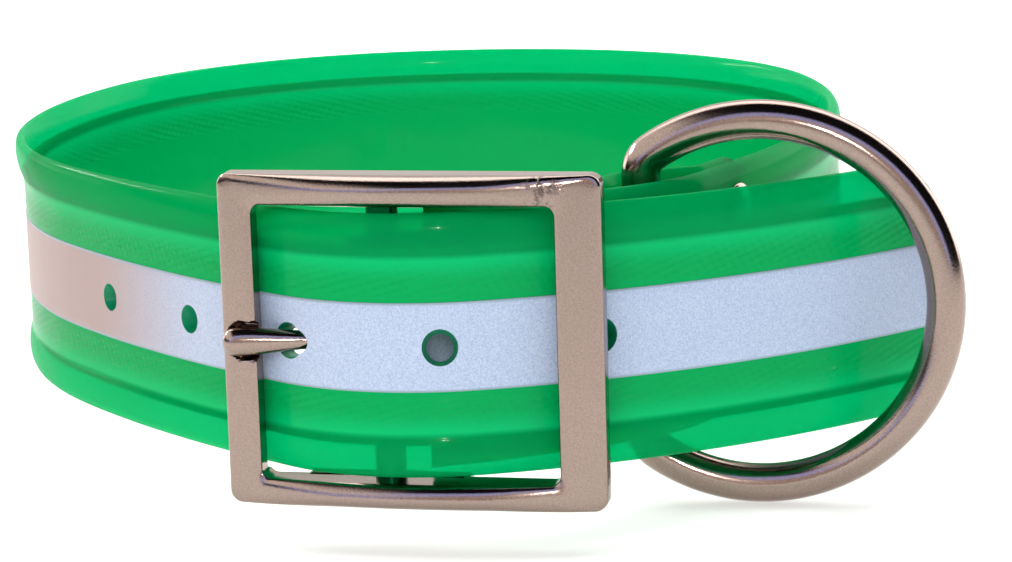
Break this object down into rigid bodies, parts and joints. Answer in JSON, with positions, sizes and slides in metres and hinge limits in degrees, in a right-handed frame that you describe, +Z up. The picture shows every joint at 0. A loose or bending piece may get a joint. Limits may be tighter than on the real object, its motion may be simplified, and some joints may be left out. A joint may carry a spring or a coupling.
{
  "type": "buckle dog collar",
  "caption": "Buckled dog collar: coated webbing strap with reflective stripe and adjusting holes, centre-bar buckle with tongue, riveted fold and D ring for a leash.",
  "frame": {"origin": "middle of the underside of the bounding box, level with the lowest point of the D ring", "axes": "+Z up along the strap width, -Y towards the buckle, +X to the right of the buckle, where the D ring and the free end are"},
  "size_m": [0.1482, 0.1876, 0.0606],
  "materials": {
    "green_coating": "glossy translucent polyurethane, diagonal weave showing through",
    "green_webbing": "woven polyester",
    "reflective_tape": "retroreflective glass-bead tape",
    "nickel": "polished nickel plate"
  },
  "bodies": {
    "strap": {"strap_coating": "green_coating", "webbing_core": "green_webbing", "reflective_stripe": "reflective_tape", "rivet_post_near_upper": "nickel", "rivet_cap_near_upper": "nickel", "rivet_post_near_lower": "nickel", "rivet_cap_near_lower": "nickel", "rivet_post_far_upper": "nickel", "rivet_cap_far_upper": "nickel", "rivet_post_far_lower": "nickel", "rivet_cap_far_lower": "nickel"},
    "frame": {"buckle_frame": "nickel"},
    "tongue": {"buckle_tongue": "nickel"},
    "ring": {"d_ring": "nickel"}
  },
  "joints": [
    {"name": "frame_rock", "type": "hinge", "parent": "strap", "child": "frame", "pos_m": [-0.01058, -0.08141, 0.0303], "axis": [0, 0, 1], "range_deg": [-0.4, 0.4]},
    {"name": "tongue_lift", "type": "hinge", "parent": "frame", "child": "tongue", "pos_m": [-0.01058, -0.08141, 0.0303], "axis": [0, 0, 1], "range_deg": [0, 1.8]},
    {"name": "ring_swing", "type": "hinge", "parent": "strap", "child": "ring", "pos_m": [0.02717, -0.06483, 0.0303], "axis": [0, 0, -1], "range_deg": [0, 90]}
  ]
}
